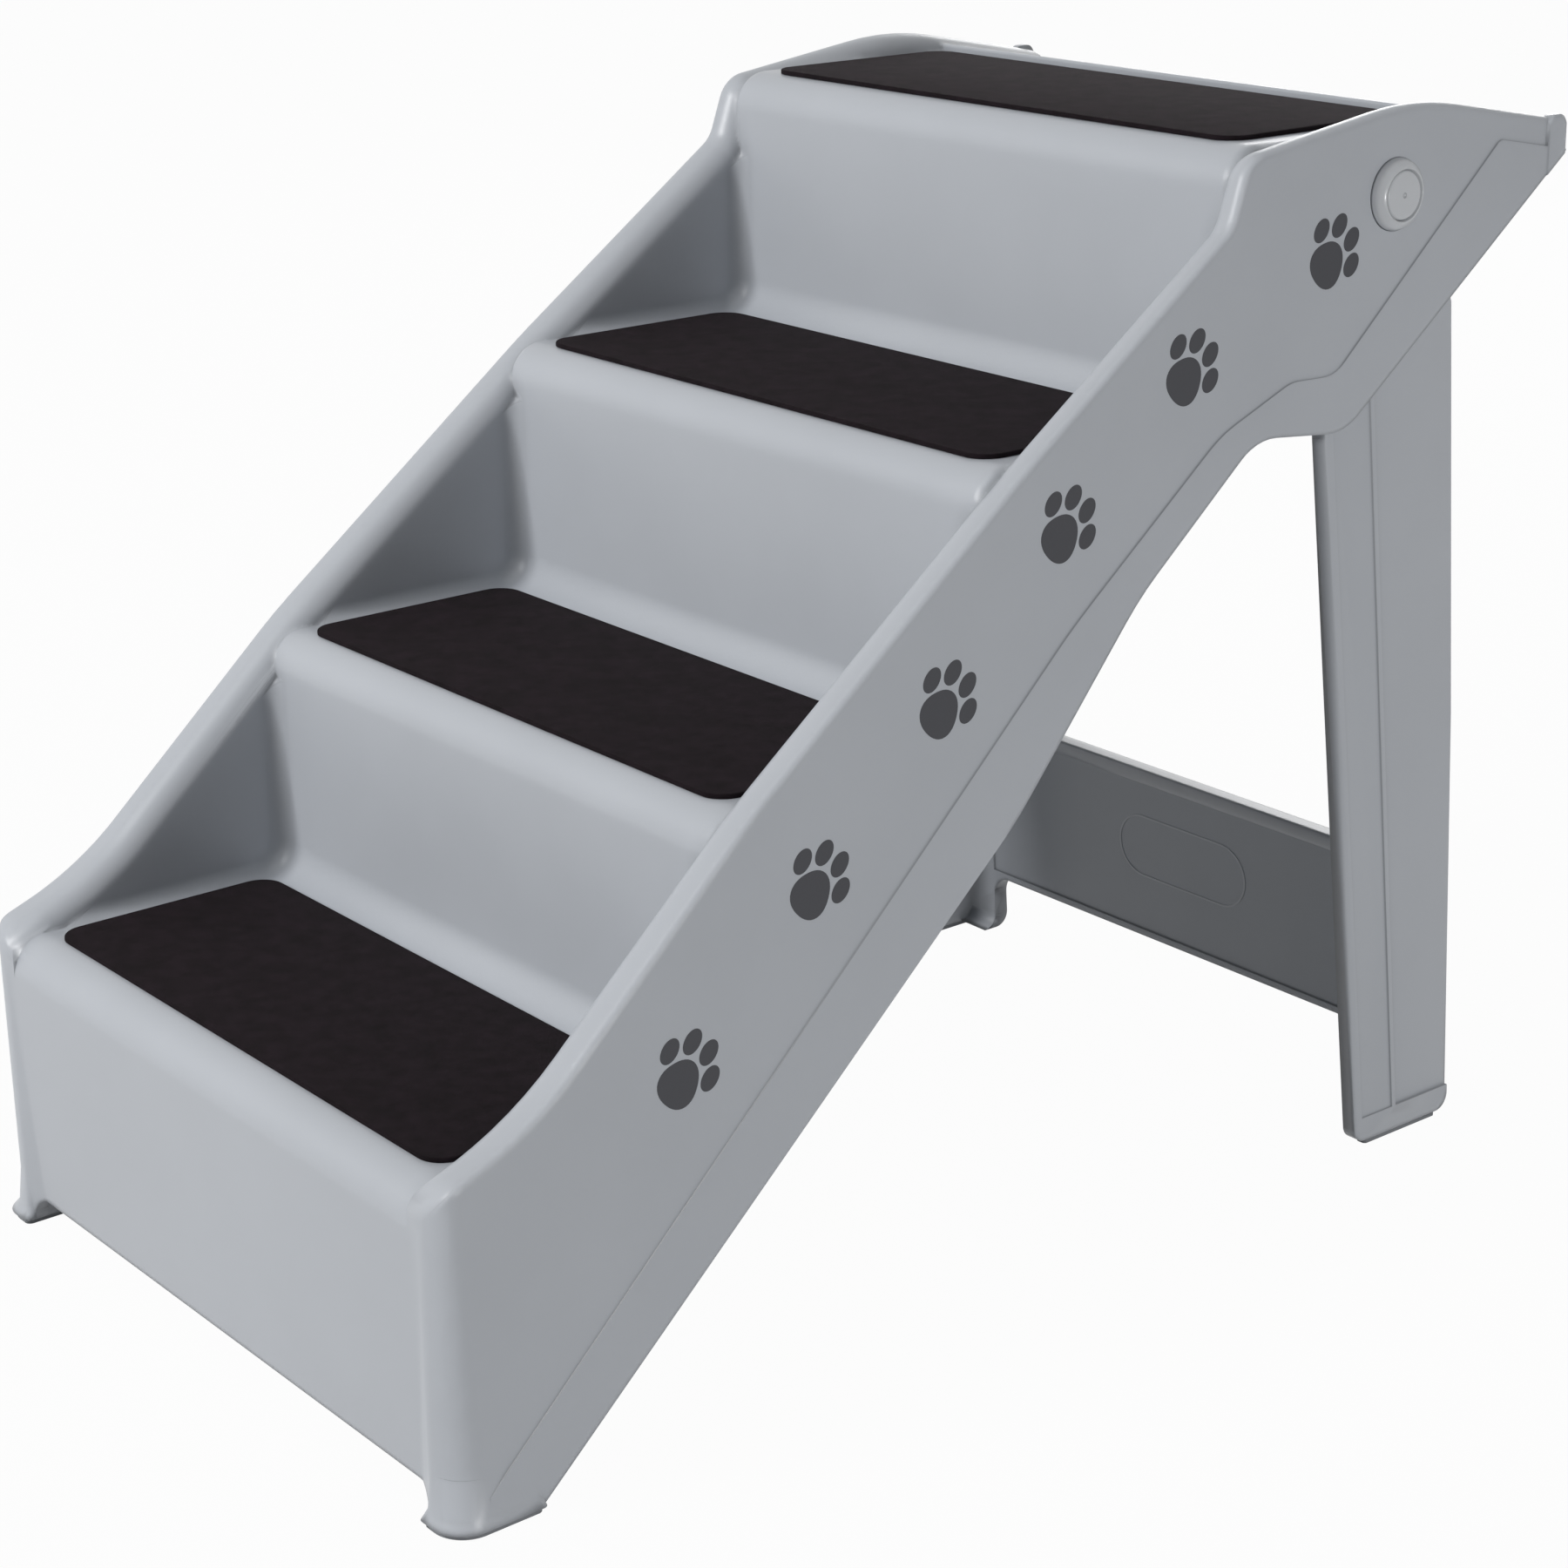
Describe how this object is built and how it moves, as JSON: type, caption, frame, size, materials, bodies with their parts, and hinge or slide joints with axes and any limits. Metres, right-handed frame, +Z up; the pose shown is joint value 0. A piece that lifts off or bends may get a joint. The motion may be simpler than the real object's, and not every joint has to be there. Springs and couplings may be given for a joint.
{
  "type": "folding pet stairs",
  "caption": "Folding moulded pet stairs with felt-covered treads, splayed side rails and a hinged rear leg frame that swings forward into the hollow body.",
  "frame": {"origin": "on the floor, in the middle of the opened object's box", "axes": "+X to the right seen from the front, +Y from the first step toward the back, +Z up"},
  "size_m": [0.388, 0.646, 0.5092],
  "materials": {
    "body_plastic": "satin moulded",
    "mat_felt": "needled felt",
    "pin_plastic": "semi-gloss",
    "plated_steel": "zinc plated",
    "foot_rubber": "matt"
  },
  "bodies": {
    "stairs": {"stair_body": "body_plastic", "tread_mat_1": "mat_felt", "tread_mat_2": "mat_felt", "tread_mat_3": "mat_felt", "tread_mat_4": "mat_felt", "pivot_pin_right": "pin_plastic", "pivot_cap_right": "pin_plastic", "pivot_washer_right": "plated_steel", "pivot_clip_right": "plated_steel", "front_foot_pad_right": "foot_rubber", "pivot_pin_left": "pin_plastic", "pivot_cap_left": "pin_plastic", "pivot_washer_left": "plated_steel", "pivot_clip_left": "plated_steel", "front_foot_pad_left": "foot_rubber"},
    "leg": {"leg_frame": "body_plastic", "rear_foot_pad_right": "foot_rubber", "rear_foot_pad_left": "foot_rubber"}
  },
  "joints": [
    {"name": "leg_fold", "type": "hinge", "parent": "stairs", "child": "leg", "pos_m": [0, 0.2064, 0.471], "axis": [-1, 0, 0], "range_deg": [0, 54]}
  ]
}
